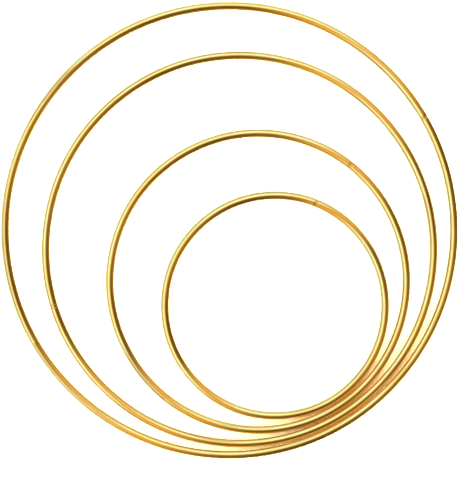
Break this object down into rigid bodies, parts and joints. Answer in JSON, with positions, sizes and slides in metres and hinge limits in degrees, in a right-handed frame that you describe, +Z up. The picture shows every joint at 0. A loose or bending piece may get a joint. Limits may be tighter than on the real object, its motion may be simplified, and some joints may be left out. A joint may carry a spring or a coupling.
{
  "type": "wreath hoop set",
  "caption": "Loose round hoops of gold-coloured wire in graded sizes, nested flat in one another, each closed by a butt weld, for wreaths and flower rings.",
  "frame": {"origin": "centre of the outer hoop, on the plane that the hoops rest on", "axes": "+Z up, square to the hoops; the smaller hoops gather towards +X and -Y, and +Y is each hoop's top"},
  "size_m": [0.3, 0.3, 0.005],
  "materials": {
    "gold_plated_wire": "glossy gold-coloured plating over drawn steel wire",
    "gold_plated_weld": "filed butt weld under the same plating, a little paler and duller"
  },
  "bodies": {
    "outer_hoop": {"outer_hoop_wire": "gold_plated_wire", "outer_hoop_weld": "gold_plated_weld"},
    "second_hoop": {"second_hoop_wire": "gold_plated_wire", "second_hoop_weld": "gold_plated_weld"},
    "third_hoop": {"third_hoop_wire": "gold_plated_wire", "third_hoop_weld": "gold_plated_weld"},
    "inner_hoop": {"inner_hoop_wire": "gold_plated_wire", "inner_hoop_weld": "gold_plated_weld"}
  },
  "joints": [
    {"name": "second_hoop_lift", "type": "slide", "parent": "outer_hoop", "child": "second_hoop", "axis": [0, 0, 1], "range_m": [0, 0.08]},
    {"name": "third_hoop_lift", "type": "slide", "parent": "outer_hoop", "child": "third_hoop", "axis": [0, 0, 1], "range_m": [0, 0.08]},
    {"name": "inner_hoop_lift", "type": "slide", "parent": "outer_hoop", "child": "inner_hoop", "axis": [0, 0, 1], "range_m": [0, 0.08]}
  ]
}
